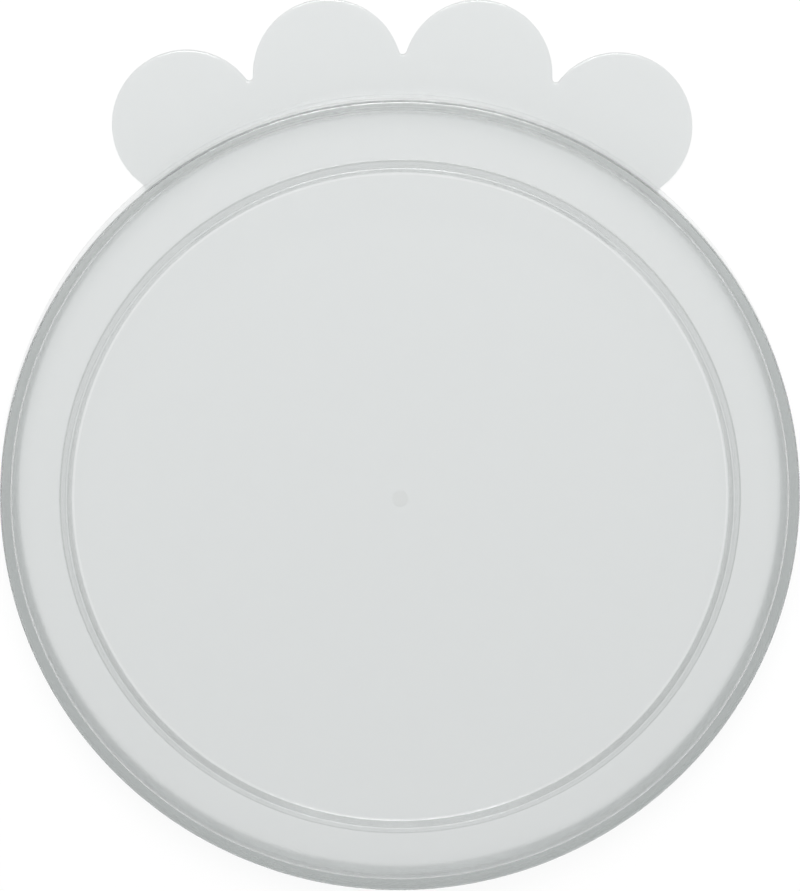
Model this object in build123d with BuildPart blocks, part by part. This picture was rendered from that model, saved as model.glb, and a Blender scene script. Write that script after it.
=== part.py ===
from build123d import *
from math import asin, cos, degrees, radians, tan
import os

# Press-on lid for an opened food can, moulded in one piece from soft translucent plastic.
# It stands as it is used, plate on top. Its axis is Z, the free edge of the skirt lies on
# z = 0 and the lobed pull tab points to +Y. Lengths are millimetres, angles degrees.

# Rim of the can that the lid is pressed onto
seam_diameter = 103.2  # over the double seam of a can 99 mm wide
seam_height = 3.1
seam_clearance = 0.05  # between the seam and the inside of the skirt

# Plate and skirt
plate_thickness = 1.2
skirt_height = 8.0  # from the free edge to the top face
skirt_wall = 1.35  # right under the plate
skirt_draft = 1.0  # the outside widens towards the free edge, to leave the mould
rim_radius = 0.4  # rounds the top face into the outside of the skirt
pocket_chamfer = 0.5  # slopes the inside of the skirt into the underside of the plate

# Bead that grips under the seam
bead_grip = 1.0  # how far the crest reaches in under the seam
bead_drop = 0.8  # from the underside of the seam down to the crest
bead_flank_angle = 50.0  # between the flank that holds the seam and the skirt
bead_crest_radius = 0.5
bead_root_radius = 0.3
mouth_relief = 1.0  # how far the lead-in opens from the crest to the free edge

# Raised ring that keeps the next can in a stack from sliding
ring_inset = 7.8  # from the outside of the lid to the outer foot of the ring
ring_height = 1.8
ring_width = 1.7  # across both feet
ring_inner_flank = 0.6  # level width of the flank towards the axis
ring_crest_width = 0.15

# Pull tab: round lobes side by side along the rim, level with the free edge
lobe_count = 4
lobe_radius = 9.9
lobe_spacing = 19.85  # between the centres of two neighbours
lobe_overhang = 3.6  # from the outside of the lid to the circle of the lobes' centres
tab_thickness = 1.0
tab_edge_chamfer = 0.2  # along the top edge; the underside lies in the mould's parting plane
valley_radius = 0.5  # rounds the notch between two lobes
tab_root_depth = 0.6  # how far the tab is let into the skirt

# Witness of the injection gate in the middle of the top face
gate_diameter = 2.1
gate_depth = 0.15

# Section of the skirt, from the can that it fits
seam_radius = seam_diameter / 2
pocket_wall_radius = seam_radius + seam_clearance
outer_radius = pocket_wall_radius + skirt_wall
foot_outer_radius = outer_radius + skirt_height * tan(radians(skirt_draft))
plate_underside = skirt_height - plate_thickness
crest_radius = seam_radius - bead_grip
crest_height = plate_underside - seam_height - bead_drop
flank_top = crest_height + (pocket_wall_radius - crest_radius) / tan(radians(bead_flank_angle))
mouth_radius = crest_radius + mouth_relief

# Section of the ring
ring_outer_foot = outer_radius - ring_inset
ring_inner_foot = ring_outer_foot - ring_width
ring_inner_crest = ring_inner_foot + ring_inner_flank
ring_outer_crest = ring_inner_crest + ring_crest_width
ring_top = skirt_height + ring_height

# Layout of the tab
lobe_circle_radius = outer_radius + lobe_overhang
lobe_pitch = 2 * degrees(asin(lobe_spacing / 2 / lobe_circle_radius))
lobe_span = (lobe_count - 1) * lobe_pitch
first_lobe_angle = 90 - lobe_span / 2
web_radius = lobe_circle_radius * cos(radians(lobe_pitch / 2))
tab_root_radius = outer_radius - tab_root_depth

# Half section of the lid without its tab: radius, height and rounding of each corner
section = [
    (0, plate_underside, 0),
    (pocket_wall_radius - pocket_chamfer, plate_underside, 0),
    (pocket_wall_radius, plate_underside - pocket_chamfer, 0),
    (pocket_wall_radius, flank_top, bead_root_radius),
    (crest_radius, crest_height, bead_crest_radius),
    (mouth_radius, 0, 0),
    (foot_outer_radius, 0, 0),
    (outer_radius, skirt_height, rim_radius),
    (ring_outer_foot, skirt_height, 0),
    (ring_outer_crest, ring_top, 0),
    (ring_inner_crest, ring_top, 0),
    (ring_inner_foot, skirt_height, 0),
    (0, skirt_height, 0),
]

with BuildPart() as lid:
    # Lobes on a circle about the lid's axis, with a web behind them out to where they meet
    with BuildSketch():
        with PolarLocations(
            lobe_circle_radius, lobe_count, first_lobe_angle, lobe_span, endpoint=True
        ):
            Circle(lobe_radius)
        with BuildLine():
            web_edge = CenterArc((0, 0), web_radius, first_lobe_angle, lobe_span)
            Line(web_edge @ 1, (0, 0))
            Line((0, 0), web_edge @ 0)
        make_face()
        # Growing and shrinking by the same amount rounds the notches only
        offset(amount=valley_radius)
        offset(amount=-valley_radius)
        Circle(tab_root_radius, mode=Mode.SUBTRACT)
    extrude(amount=tab_thickness)
    top_edges = lid.faces().sort_by(Axis.Z)[-1].edges()
    chamfer(top_edges.filter_by(lambda edge: edge.radius < web_radius / 2), tab_edge_chamfer)

    # Plate, stacking ring, skirt and bead in one turn of the section
    with BuildSketch(Plane.XZ):
        with BuildLine():
            FilletPolyline(
                [(radius, height) for radius, height, rounding in section],
                radius=[rounding for radius, height, rounding in section],
                close=True,
            )
        make_face()
    revolve(axis=Axis.Z)

    # Shallow gate mark
    with BuildSketch(Plane.XY.offset(skirt_height)):
        Circle(gate_diameter / 2)
    extrude(amount=-gate_depth, mode=Mode.SUBTRACT)

lid.part.label = "lid"

os.makedirs("parts", exist_ok=True)
export_step(lid.part, "parts/lid.step")
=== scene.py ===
"""Dresses the press-on can lid and sets it on a plain white table.

The lid is one moulding of frosted polyethylene. It is modelled once more here, with finer facets and
the small roundings of its edges, and lies exactly where its node lies. Lengths are metres.
"""

import logging
import math
from dataclasses import dataclass
from enum import Enum

import bmesh
import bpy
from bmesh.types import BMEdge, BMesh, BMVert
from mathutils import Matrix, Vector


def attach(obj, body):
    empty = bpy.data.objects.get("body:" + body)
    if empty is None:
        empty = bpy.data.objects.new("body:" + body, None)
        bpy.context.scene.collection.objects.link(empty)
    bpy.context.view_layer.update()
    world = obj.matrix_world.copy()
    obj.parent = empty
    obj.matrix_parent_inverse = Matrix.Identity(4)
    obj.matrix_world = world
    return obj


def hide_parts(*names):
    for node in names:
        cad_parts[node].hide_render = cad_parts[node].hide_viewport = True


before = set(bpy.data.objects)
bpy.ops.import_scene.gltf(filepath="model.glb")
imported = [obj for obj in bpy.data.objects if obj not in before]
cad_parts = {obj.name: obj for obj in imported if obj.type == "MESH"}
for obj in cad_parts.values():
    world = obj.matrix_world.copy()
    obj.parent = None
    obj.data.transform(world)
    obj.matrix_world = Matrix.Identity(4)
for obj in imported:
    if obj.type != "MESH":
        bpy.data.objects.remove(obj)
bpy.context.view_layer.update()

MM = 0.001
MERGE_DISTANCE = 0.001 * MM

# Numbers of a Mix node's colour sockets, which share their names with others of its sockets
MIX_FIRST = 6
MIX_SECOND = 7
MIX_RESULT = 2

log = logging.getLogger("can_lid")


def linear(hex_colour: str, alpha: float = 1.0) -> tuple[float, float, float, float]:
    """Turns an sRGB colour into the linear values that shaders take.

    Args:
        hex_colour: The colour as "#rrggbb".
        alpha: The fourth value.

    Returns:
        Linear red, green, blue and alpha.
    """
    values = [int(hex_colour[i : i + 2], 16) / 255 for i in (1, 3, 5)]
    red, green, blue = (v / 12.92 if v <= 0.04045 else ((v + 0.055) / 1.055) ** 2.4 for v in values)
    return red, green, blue, alpha


def blank_tree(owner: bpy.types.Material | bpy.types.World) -> bpy.types.NodeTree:
    """Gives a material or a world an empty node tree.

    Args:
        owner: The material or world.

    Returns:
        Its node tree.
    """
    owner.use_nodes = True
    owner.node_tree.nodes.clear()
    return owner.node_tree


def add_node(
    tree: bpy.types.NodeTree,
    kind: str,
    settings: dict[str, object] | None = None,
    values: dict[str | int, object] | None = None,
    links: dict[str | int, bpy.types.NodeSocket] | None = None,
) -> bpy.types.Node:
    """Adds one shader node.

    Args:
        tree: The node tree it goes into.
        kind: The node's type name, such as "ShaderNodeBsdfPrincipled".
        settings: Properties of the node.
        values: Values of its inputs, by the input's name or number.
        links: Output sockets that feed its inputs, by the input's name or number.

    Returns:
        The new node.
    """
    node = tree.nodes.new(kind)
    for name, value in (settings or {}).items():
        setattr(node, name, value)
    for name, value in (values or {}).items():
        node.inputs[name].default_value = value
    for name, socket in (links or {}).items():
        tree.links.new(socket, node.inputs[name])
    return node


def object_from(bm: BMesh, name: str) -> bpy.types.Object:
    """Puts a bmesh into a new object in the scene and frees it.

    Args:
        bm: The finished mesh.
        name: Name of the object and its mesh.

    Returns:
        The new object.
    """
    mesh = bpy.data.meshes.new(name)
    bm.to_mesh(mesh)
    bm.free()
    made = bpy.data.objects.new(name, mesh)
    bpy.context.scene.collection.objects.link(made)
    return made


def round_edges(bm: BMesh, edges: list[BMEdge], reach: float, steps: int) -> None:
    """Rounds some edges of a mesh.

    Args:
        bm: The mesh.
        edges: The edges.
        reach: How far the rounding reaches from each edge.
        steps: Number of its facets.
    """
    bmesh.ops.bevel(
        bm,
        geom=edges,
        offset=reach,
        offset_type="OFFSET",
        affect="EDGES",
        segments=steps,
        profile=0.5,
        material=-1,
        clamp_overlap=False,
    )


@dataclass(frozen=True)
class Band:
    """Narrow band about the lid's axis on its top, painted lighter or darker: a painted highlight or a
    painted shade along the stacking ring, or the gate mark's own tint.
    """

    radius: float
    reach: float
    tint: str


@dataclass(frozen=True)
class FrostedPolyethylene:
    """Low-density polyethylene, injection moulded in a polished tool.

    It gives the eye a milky, faintly green-grey sheet with a soft gloss: light passes, but what lies
    behind it blurs within a few millimetres, and the more plastic the light crosses, the greyer it is.
    """

    tint: str = "#f0f1f1"
    depth_tint: str = "#acb2b0"
    shade_tint: str = "#f5f6f6"
    density: float = 78.0
    ior: float = 1.51
    # Lines painted on the top, above band_height, around the axis: a painted highlight along the inner
    # foot of the stacking ring, a painted shade along its outer foot, and the gate mark's own greyer disc
    band_height: float = 7.8 * MM
    painted_lines_and_gate_mark: tuple[Band, ...] = (
        # Painted highlight: white along the ring's inner foot
        Band(radius=43.3 * MM, reach=0.13 * MM, tint="#ffffff"),
        # Painted shade: darker along the ring's outer foot
        Band(radius=45.03 * MM, reach=0.1 * MM, tint="#cfd0cf"),
        Band(radius=0.0, reach=1.05 * MM, tint="#e7e8e7"),
    )
    # A roughness of 0.274 isn't reached: where it is crossed, the denoiser leaves an outline
    haze: float = 0.26
    haze_drift: float = 0.012
    gloss: float = 0.9
    gloss_roughness: float = 0.08
    flow: float = 9.0 * MM
    grain: float = 0.35 * MM
    grain_depth: float = 0.004 * MM
    grain_strength: float = 0.4
    noise_detail: float = 2.0

    def noise(
        self, tree: bpy.types.NodeTree, place: bpy.types.NodeSocket, size: float
    ) -> bpy.types.NodeSocket:
        """Adds an even noise.

        Args:
            tree: The node tree.
            place: Socket with the place in the lid's own frame.
            size: Size of its blotches.

        Returns:
            A socket with the noise, from 0 to 1.
        """
        node = add_node(
            tree,
            "ShaderNodeTexNoise",
            values={"Scale": 1 / size, "Detail": self.noise_detail},
            links={"Vector": place},
        )
        return node.outputs["Fac"]

    def colour(self, tree: bpy.types.NodeTree, place: bpy.types.NodeSocket) -> bpy.types.NodeSocket:
        """Tints the plastic, with a painted highlight along the ring's inner foot, a painted shade along
        its outer foot, and the gate mark's greyer disc.

        Args:
            tree: The node tree.
            place: Socket with the place in the lid's own frame.

        Returns:
            A socket with the colour.
        """
        level = add_node(
            tree,
            "ShaderNodeVectorMath",
            settings={"operation": "MULTIPLY"},
            values={1: (1.0, 1.0, 0.0)},
            links={0: place},
        )
        radius = add_node(
            tree,
            "ShaderNodeVectorMath",
            settings={"operation": "LENGTH"},
            links={"Vector": level.outputs["Vector"]},
        )
        height = add_node(tree, "ShaderNodeSeparateXYZ", links={"Vector": place})
        on_top = add_node(
            tree,
            "ShaderNodeMath",
            settings={"operation": "GREATER_THAN"},
            values={1: self.band_height},
            links={0: height.outputs["Z"]},
        )
        plain = add_node(tree, "ShaderNodeRGB")
        plain.outputs["Color"].default_value = linear(self.tint)
        colour = plain.outputs["Color"]
        # Mixes in each narrow line on the top: the painted highlight, the painted shade and the gate mark
        for band in self.painted_lines_and_gate_mark:
            along = add_node(
                tree,
                "ShaderNodeMath",
                settings={"operation": "COMPARE"},
                values={1: band.radius, 2: band.reach},
                links={0: radius.outputs["Value"]},
            )
            where = add_node(
                tree,
                "ShaderNodeMath",
                settings={"operation": "MULTIPLY"},
                links={0: along.outputs["Value"], 1: on_top.outputs["Value"]},
            )
            tinted = add_node(
                tree,
                "ShaderNodeMix",
                settings={"data_type": "RGBA"},
                values={MIX_SECOND: linear(band.tint)},
                links={"Factor": where.outputs["Value"], MIX_FIRST: colour},
            )
            colour = tinted.outputs[MIX_RESULT]
        return colour

    def moulded(self, tree: bpy.types.NodeTree) -> bpy.types.NodeSocket:
        """Adds the plastic as it is seen.

        Args:
            tree: The node tree.

        Returns:
            The shader's socket.
        """
        place = add_node(tree, "ShaderNodeTexCoord").outputs["Object"]
        # Faint clouds left by the melt as it spread from the gate
        haze = add_node(
            tree,
            "ShaderNodeMapRange",
            values={"To Min": self.haze - self.haze_drift, "To Max": self.haze + self.haze_drift},
            links={"Value": self.noise(tree, place, self.flow)},
        )
        relief = add_node(
            tree,
            "ShaderNodeBump",
            values={"Strength": self.grain_strength, "Distance": self.grain_depth},
            links={"Height": self.noise(tree, place, self.grain)},
        )
        plastic = add_node(
            tree,
            "ShaderNodeBsdfPrincipled",
            values={
                "IOR": self.ior,
                "Transmission Weight": 1.0,
                "Coat Weight": self.gloss,
                "Coat Roughness": self.gloss_roughness,
                "Coat IOR": self.ior,
            },
            links={
                "Normal": relief.outputs["Normal"],
                "Roughness": haze.outputs["Result"],
                "Base Color": self.colour(tree, place),
            },
        )
        return plastic.outputs["BSDF"]

    def material(self) -> bpy.types.Material:
        """Builds the plastic.

        Returns:
            The material.
        """
        made = bpy.data.materials.new("frosted_polyethylene")
        tree = blank_tree(made)
        # Lamps and the light off the table reach what lies under the lid straight through it,
        # but not what is inside the plastic, which an odd number of its surfaces tells
        path = add_node(tree, "ShaderNodeLightPath")
        lit = add_node(
            tree,
            "ShaderNodeMath",
            settings={"operation": "MAXIMUM"},
            links={0: path.outputs["Is Shadow Ray"], 1: path.outputs["Is Diffuse Ray"]},
        )
        inside = add_node(
            tree,
            "ShaderNodeMath",
            settings={"operation": "MODULO"},
            values={1: 2.0},
            links={0: path.outputs["Transmission Depth"]},
        )
        let_through = add_node(
            tree,
            "ShaderNodeMix",
            settings={"data_type": "RGBA"},
            values={MIX_FIRST: linear(self.shade_tint), MIX_SECOND: linear("#000000")},
            links={"Factor": inside.outputs["Value"]},
        )
        passing = add_node(
            tree, "ShaderNodeBsdfTransparent", links={"Color": let_through.outputs[MIX_RESULT]}
        )
        shown = add_node(
            tree,
            "ShaderNodeMixShader",
            links={"Fac": lit.outputs["Value"], 1: self.moulded(tree), 2: passing.outputs["BSDF"]},
        )
        depth = add_node(
            tree,
            "ShaderNodeVolumeAbsorption",
            values={"Color": linear(self.depth_tint), "Density": self.density},
        )
        add_node(
            tree,
            "ShaderNodeOutputMaterial",
            links={"Surface": shown.outputs["Shader"], "Volume": depth.outputs["Volume"]},
        )
        return made


@dataclass(frozen=True)
class Corner:
    """Corner of the lid's half section, with the radius that rounds it."""

    radius: float
    height: float
    rounding: float = 0.0

    def turned_to(self, vert: BMVert) -> bool:
        """Tells whether a vertex was turned from this corner."""
        off = max(abs(vert.co.xy.length - self.radius), abs(vert.co.z - self.height))
        return off < 2 * MERGE_DISTANCE


@dataclass
class Lid:
    """The whole moulding: plate, stacking ring, skirt with its bead, and lobed tab.

    The sizes are those of the lid's solid, apart from the fine roundings of the pocket and the ring. The
    section runs in the XZ plane, and the tab lies along +Y.
    """

    seam_radius: float = 51.6 * MM
    seam_height: float = 3.1 * MM
    seam_clearance: float = 0.05 * MM
    plate_thickness: float = 1.2 * MM
    skirt_height: float = 8.0 * MM
    skirt_wall: float = 1.35 * MM
    skirt_draft: float = math.radians(1.0)
    rim_radius: float = 0.4 * MM
    pocket_radius: float = 0.35 * MM
    bead_grip: float = 1.0 * MM
    bead_drop: float = 0.8 * MM
    bead_flank_angle: float = math.radians(50.0)
    bead_crest_radius: float = 0.5 * MM
    bead_root_radius: float = 0.3 * MM
    mouth_relief: float = 1.0 * MM
    ring_inset: float = 7.8 * MM
    ring_height: float = 1.8 * MM
    ring_width: float = 1.7 * MM
    ring_inner_flank: float = 0.6 * MM
    ring_crest_width: float = 0.15 * MM
    ring_crest_radius: float = 0.1 * MM
    ring_inner_foot_radius: float = 0.2 * MM
    ring_outer_foot_radius: float = 0.06 * MM
    lobe_count: int = 4
    lobe_radius: float = 9.9 * MM
    lobe_spacing: float = 19.85 * MM
    lobe_overhang: float = 3.6 * MM
    tab_thickness: float = 1.0 * MM
    tab_edge_radius: float = 0.2 * MM
    valley_radius: float = 0.5 * MM
    tab_root_depth: float = 0.6 * MM
    gate_radius: float = 1.05 * MM
    gate_depth: float = 0.15 * MM
    turn_steps: int = 288
    lobe_steps: int = 48
    valley_steps: int = 8
    corner_steps: int = 5
    tab_edge_steps: int = 4
    sharp_angle: float = math.radians(30)

    @property
    def outer_radius(self) -> float:
        """Radius over the top edge of the skirt."""
        return self.seam_radius + self.seam_clearance + self.skirt_wall

    def corners(self) -> list[Corner]:
        """Lists the corners of the half section, round from the axis under the plate to the axis on top.

        Returns:
            The corners.
        """
        pocket = self.seam_radius + self.seam_clearance
        underside = self.skirt_height - self.plate_thickness
        crest = self.seam_radius - self.bead_grip
        crest_height = underside - self.seam_height - self.bead_drop
        flank_top = crest_height + (pocket - crest) / math.tan(self.bead_flank_angle)
        foot = self.outer_radius + self.skirt_height * math.tan(self.skirt_draft)
        ring_outer = self.outer_radius - self.ring_inset
        ring_inner = ring_outer - self.ring_width
        crest_inner = ring_inner + self.ring_inner_flank
        ring_top = self.skirt_height + self.ring_height
        return [
            Corner(0, underside),
            Corner(pocket, underside, self.pocket_radius),
            Corner(pocket, flank_top, self.bead_root_radius),
            Corner(crest, crest_height, self.bead_crest_radius),
            Corner(crest + self.mouth_relief, 0),
            Corner(foot, 0),
            Corner(self.outer_radius, self.skirt_height, self.rim_radius),
            Corner(ring_outer, self.skirt_height, self.ring_outer_foot_radius),
            Corner(crest_inner + self.ring_crest_width, ring_top, self.ring_crest_radius),
            Corner(crest_inner, ring_top, self.ring_crest_radius),
            Corner(ring_inner, self.skirt_height, self.ring_inner_foot_radius),
            Corner(self.gate_radius, self.skirt_height),
            Corner(self.gate_radius, self.skirt_height - self.gate_depth),
            Corner(0, self.skirt_height - self.gate_depth),
        ]

    def turned(self) -> bpy.types.Object:
        """Turns the section about the lid's axis and rounds its edges.

        Returns:
            The lid without its tab.
        """
        bm = bmesh.new()
        corners = self.corners()
        verts = [bm.verts.new((corner.radius, 0, corner.height)) for corner in corners]
        edges = [bm.edges.new(pair) for pair in zip(verts, verts[1:])]
        bmesh.ops.spin(
            bm,
            geom=verts + edges,
            cent=(0, 0, 0),
            axis=(0, 0, 1),
            angle=2 * math.pi,
            steps=self.turn_steps,
            use_merge=True,
        )
        bmesh.ops.remove_doubles(bm, verts=bm.verts, dist=MERGE_DISTANCE)
        bmesh.ops.recalc_face_normals(bm, faces=bm.faces)
        for before, here, after in zip(corners, corners[1:], corners[2:]):
            if here.rounding:
                self.round_corner(bm, before, here, after)
        return object_from(bm, "turned_lid")

    def round_corner(self, bm: BMesh, before: Corner, here: Corner, after: Corner) -> None:
        """Rounds the ring of edges that one corner of the section drew.

        Args:
            bm: The turned mesh.
            before: The corner before it.
            here: The corner.
            after: The corner after it.
        """
        back = Vector((before.radius - here.radius, before.height - here.height))
        ahead = Vector((after.radius - here.radius, after.height - here.height))
        reach = here.rounding / math.tan(back.angle(ahead) / 2)
        ring = [edge for edge in bm.edges if all(here.turned_to(vert) for vert in edge.verts)]
        round_edges(bm, ring, reach, self.corner_steps)

    def tab(self) -> bpy.types.Object:
        """Draws the lobes and the notches between them as arcs and raises them to the tab.

        Returns:
            The tab, with its root inside the skirt's wall.
        """
        circle = self.outer_radius + self.lobe_overhang
        root = self.outer_radius - self.tab_root_depth
        half = self.lobe_spacing / 2
        pitch = 2 * math.asin(half / circle)
        first = (math.pi - (self.lobe_count - 1) * pitch) / 2
        spread = self.lobe_radius + self.valley_radius
        valley = circle * math.cos(pitch / 2) + math.sqrt(spread**2 - half**2)
        # Angle at the lobe's centre from the way out to where the notch's arc takes over
        hand_over = math.asin(half / spread) + pitch / 2
        # Angle at the lobe's centre from the way out to where the outermost lobes meet their root
        cosine = (root**2 - circle**2 - self.lobe_radius**2) / (2 * circle * self.lobe_radius)
        to_root = math.acos(cosine)

        bm = bmesh.new()
        pen = bm.verts.new(self.around(first, circle) + self.around(first - to_root, self.lobe_radius))
        for lobe in range(self.lobe_count):
            out = first + lobe * pitch
            sweep_in = to_root if lobe == 0 else hand_over
            sweep_out = to_root if lobe == self.lobe_count - 1 else hand_over
            pen = self.arc(bm, pen, self.around(out, circle), sweep_in + sweep_out, self.lobe_steps)
            if lobe < self.lobe_count - 1:
                bend = 2 * hand_over - pitch
                centre = self.around(out + pitch / 2, valley)
                pen = self.arc(bm, pen, centre, -bend, self.valley_steps)
        span = math.atan2(pen.co.x, pen.co.y)
        self.arc(bm, pen, Vector((0, 0, 0)), 2 * span, self.lobe_steps)
        bmesh.ops.remove_doubles(bm, verts=bm.verts, dist=MERGE_DISTANCE)
        face = bmesh.ops.contextual_create(bm, geom=bm.edges)["faces"][0]
        raised = bmesh.ops.extrude_face_region(bm, geom=[face])["geom"]
        top = [item for item in raised if isinstance(item, BMVert)]
        bmesh.ops.translate(bm, verts=top, vec=(0, 0, self.tab_thickness))
        bmesh.ops.recalc_face_normals(bm, faces=bm.faces)
        rim = [edge for edge in bm.edges if all(self.on_tab_rim(vert) for vert in edge.verts)]
        round_edges(bm, rim, self.tab_edge_radius, self.tab_edge_steps)
        return object_from(bm, "lobed_tab")

    def on_tab_rim(self, vert: BMVert) -> bool:
        """Tells whether a vertex of the raw tab is on its top and clear of its root."""
        root = self.outer_radius - self.tab_root_depth
        return vert.co.z > self.tab_thickness / 2 and vert.co.xy.length > root + 10 * MERGE_DISTANCE

    def around(self, angle: float, radius: float) -> Vector:
        """Gives the point at an angle from +X and a distance from the origin, on the table."""
        return Vector((radius * math.cos(angle), radius * math.sin(angle), 0))

    def arc(self, bm: BMesh, pen: BMVert, centre: Vector, angle: float, steps: int) -> BMVert:
        """Draws an arc from a vertex about a centre.

        Args:
            bm: The mesh drawn in.
            pen: The vertex where the arc starts.
            centre: The arc's centre.
            angle: How far it turns, counter-clockwise.
            steps: Number of its edges.

        Returns:
            The vertex where the arc ends.
        """
        drawn = bmesh.ops.spin(
            bm, geom=[pen], cent=centre, axis=(0, 0, 1), angle=angle, steps=steps, use_merge=False
        )
        return next(item for item in drawn["geom_last"] if isinstance(item, BMVert))

    def build(self, finish: FrostedPolyethylene) -> bpy.types.Object:
        """Joins the tab to the lid, dresses it and puts it in place of its node.

        Args:
            finish: The plastic.

        Returns:
            The finished lid.
        """
        body = self.turned()
        tab = self.tab()
        union = body.modifiers.new("tab", "BOOLEAN")
        union.operation = "UNION"
        union.solver = "EXACT"
        union.object = tab
        shaped = body.evaluated_get(bpy.context.evaluated_depsgraph_get())
        mesh = bpy.data.meshes.new_from_object(shaped)
        mesh.name = "lid_moulding"
        # Where the tab meets the skirt's facets, the union leaves needless points along straight edges
        bm = bmesh.new()
        bm.from_mesh(mesh)
        bmesh.ops.remove_doubles(bm, verts=bm.verts, dist=MERGE_DISTANCE)
        needless = [vert for vert in bm.verts if len(vert.link_edges) == 2]
        bmesh.ops.dissolve_verts(bm, verts=needless)
        bm.to_mesh(mesh)
        bm.free()
        lid = bpy.data.objects.new("lid_moulding", mesh)
        bpy.context.scene.collection.objects.link(lid)
        bpy.data.objects.remove(body)
        bpy.data.objects.remove(tab)
        mesh.shade_smooth()
        mesh.set_sharp_from_angle(angle=self.sharp_angle)
        even = lid.modifiers.new("even_shading", "WEIGHTED_NORMAL")
        even.keep_sharp = True
        mesh.materials.clear()
        mesh.materials.append(finish.material())
        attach(lid, "root")
        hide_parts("lid")
        return lid


class Seen(Enum):
    """Kinds of rays that look at the table and the room directly or through the plastic."""

    CAMERA = "Is Camera Ray"
    GLOSSY = "Is Glossy Ray"
    TRANSMISSION = "Is Transmission Ray"


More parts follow.
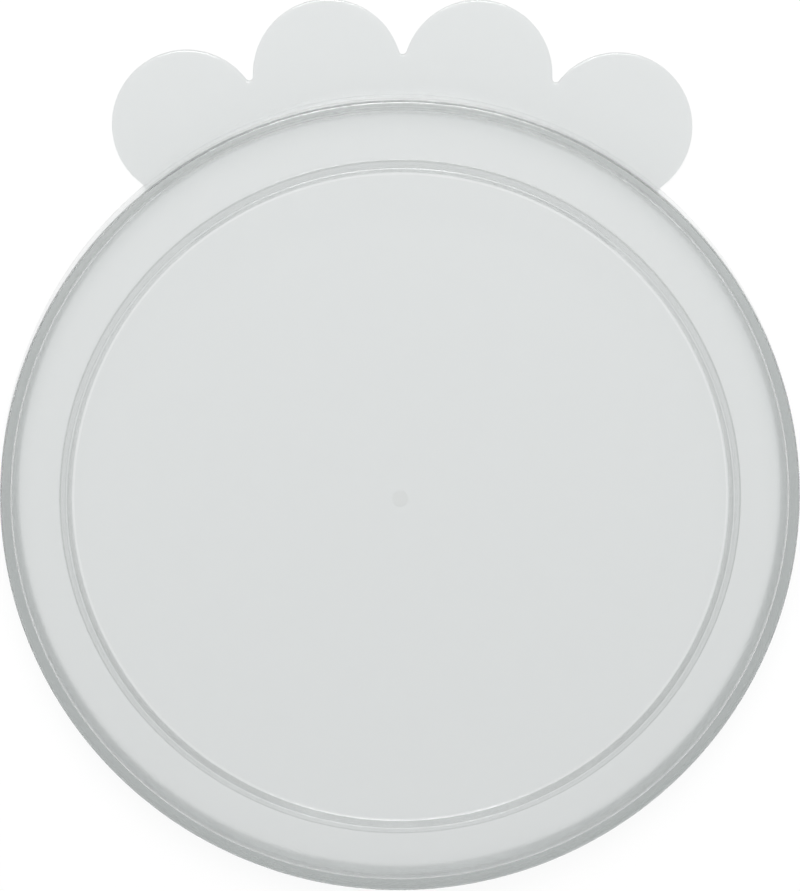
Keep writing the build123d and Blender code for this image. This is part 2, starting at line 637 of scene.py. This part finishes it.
@dataclass
class Studio:
    """White table and soft light from above.

    The camera sees a darker card whose glow makes it white, so that the lid's shadow on it stays faint.
    """

    table_size: float = 3.0
    table_gap: float = 0.3 * MM
    table_white: str = "#f5f5f5"
    table_shade: str = "#7c7c7c"
    glow_behind: float = 0.13
    glow_open: float = 0.82
    room_white: str = "#ffffff"
    room_strength: float = 0.3
    lamp_power: float = 6.2
    lamp_size: float = 0.42
    lamp_place: tuple[float, float, float] = (0.0, 0.42, 0.75)

    def looked_at(self, tree: bpy.types.NodeTree, kinds: tuple[Seen, ...]) -> bpy.types.NodeSocket:
        """Tells in a node tree whether one of some kinds of rays looks.

        Args:
            tree: The node tree.
            kinds: The kinds of rays.

        Returns:
            A socket that is 1 for those rays and 0 for all others.
        """
        path = add_node(tree, "ShaderNodeLightPath")
        socket = path.outputs[kinds[0].value]
        for kind in kinds[1:]:
            either = add_node(
                tree,
                "ShaderNodeMath",
                settings={"operation": "MAXIMUM"},
                links={0: socket, 1: path.outputs[kind.value]},
            )
            socket = either.outputs["Value"]
        return socket

    def card(self, tree: bpy.types.NodeTree, white: str, glow: float) -> bpy.types.NodeSocket:
        """Adds a card that also glows a little.

        Args:
            tree: The node tree.
            white: Colour of the card.
            glow: Strength of its glow.

        Returns:
            The shader's socket.
        """
        matt = add_node(tree, "ShaderNodeBsdfDiffuse", values={"Color": linear(white)})
        light = add_node(tree, "ShaderNodeEmission", values={"Strength": glow})
        both = add_node(
            tree, "ShaderNodeAddShader", links={0: matt.outputs["BSDF"], 1: light.outputs["Emission"]}
        )
        return both.outputs["Shader"]

    def table(self) -> bpy.types.Object:
        """Lays the table, which the camera sees white, with a faint shadow of the lid.

        Returns:
            The table.
        """
        bm = bmesh.new()
        bmesh.ops.create_grid(bm, x_segments=1, y_segments=1, size=self.table_size / 2)
        bmesh.ops.translate(bm, verts=bm.verts, vec=(0, 0, -self.table_gap))
        table = object_from(bm, "white_table")
        made = bpy.data.materials.new("white_card")
        tree = blank_tree(made)
        shown = self.card(tree, self.table_white, 0.0)
        for kinds, white, glow in (
            ((Seen.GLOSSY, Seen.TRANSMISSION), self.table_white, self.glow_behind),
            ((Seen.CAMERA,), self.table_shade, self.glow_open),
        ):
            chosen = add_node(
                tree,
                "ShaderNodeMixShader",
                links={"Fac": self.looked_at(tree, kinds), 1: shown, 2: self.card(tree, white, glow)},
            )
            shown = chosen.outputs["Shader"]
        add_node(tree, "ShaderNodeOutputMaterial", links={"Surface": shown})
        table.data.materials.append(made)
        return table

    def room(self) -> bpy.types.World:
        """Fills the room with even light, and shows it white in the picture, in gloss and through plastic.

        Returns:
            The world.
        """
        world = bpy.data.worlds.new("studio")
        tree = blank_tree(world)
        strength = add_node(
            tree,
            "ShaderNodeMix",
            settings={"data_type": "FLOAT"},
            values={"A": self.room_strength, "B": 1.0},
            links={"Factor": self.looked_at(tree, (Seen.CAMERA, Seen.GLOSSY, Seen.TRANSMISSION))},
        )
        light = add_node(
            tree,
            "ShaderNodeBackground",
            values={"Color": linear(self.room_white)},
            links={"Strength": strength.outputs["Result"]},
        )
        add_node(tree, "ShaderNodeOutputWorld", links={"Surface": light.outputs["Background"]})
        bpy.context.scene.world = world
        return world

    def lamp(self) -> bpy.types.Object:
        """Hangs one soft lamp over the table, behind the lid.

        Returns:
            The lamp.
        """
        data = bpy.data.lights.new("soft_box", "AREA")
        data.shape = "SQUARE"
        data.size = self.lamp_size
        data.energy = self.lamp_power
        lamp = bpy.data.objects.new("soft_box", data)
        lamp.location = self.lamp_place
        lamp.rotation_euler = (-lamp.location).to_track_quat("-Z", "Y").to_euler()
        # Seen in the gloss, but not through the plastic, where it would flare in every flank
        lamp.visible_transmission = False
        bpy.context.scene.collection.objects.link(lamp)
        return lamp


@dataclass
class PhotoCamera:
    """The photograph's camera: far off, almost straight over the plate, leaning towards the tab."""

    distance: float = 1.0
    tilt: float = math.radians(8.65)
    turn: float = math.radians(1.02)
    roll: float = math.radians(-0.45)
    aim_right: float = -0.045 * MM
    aim_up: float = 7.05 * MM
    pixels_per_metre: float = 7549.0
    frame_height: float = 891.0
    sensor: float = 36.0
    nearest: float = 0.05
    farthest: float = 20.0
    plate_height: float = 8.0 * MM

    def build(self) -> bpy.types.Object:
        """Sets up the camera and makes it the scene's own.

        Returns:
            The camera.
        """
        data = bpy.data.cameras.new("photo_camera")
        data.sensor_width = self.sensor
        data.lens = self.pixels_per_metre * self.distance * self.sensor / self.frame_height
        data.clip_start = self.nearest
        data.clip_end = self.farthest
        lean = (
            Matrix.Rotation(self.roll, 3, "Z")
            @ Matrix.Rotation(self.tilt, 3, "X")
            @ Matrix.Rotation(self.turn, 3, "Y")
        ).transposed()
        camera = bpy.data.objects.new("photo_camera", data)
        camera.location = lean @ Vector((self.aim_right, self.aim_up, self.distance))
        camera.location.z += self.plate_height
        camera.rotation_euler = lean.to_euler()
        bpy.context.scene.collection.objects.link(camera)
        bpy.context.scene.camera = camera
        return camera


def main() -> None:
    """Builds the camera, the studio and the lid, and reports each piece."""
    logging.basicConfig(level=logging.INFO, format="%(message)s")
    bpy.context.scene.view_settings.view_transform = "Standard"
    camera = PhotoCamera().build()
    log.info("camera: %s", camera.name)
    studio = Studio()
    for made in (studio.table(), studio.room(), studio.lamp()):
        log.info("studio: %s", made.name)
    lid = Lid().build(FrostedPolyethylene())
    log.info("lid: %s, %d faces", lid.name, len(lid.data.polygons))


if __name__ == "__main__":
    main()
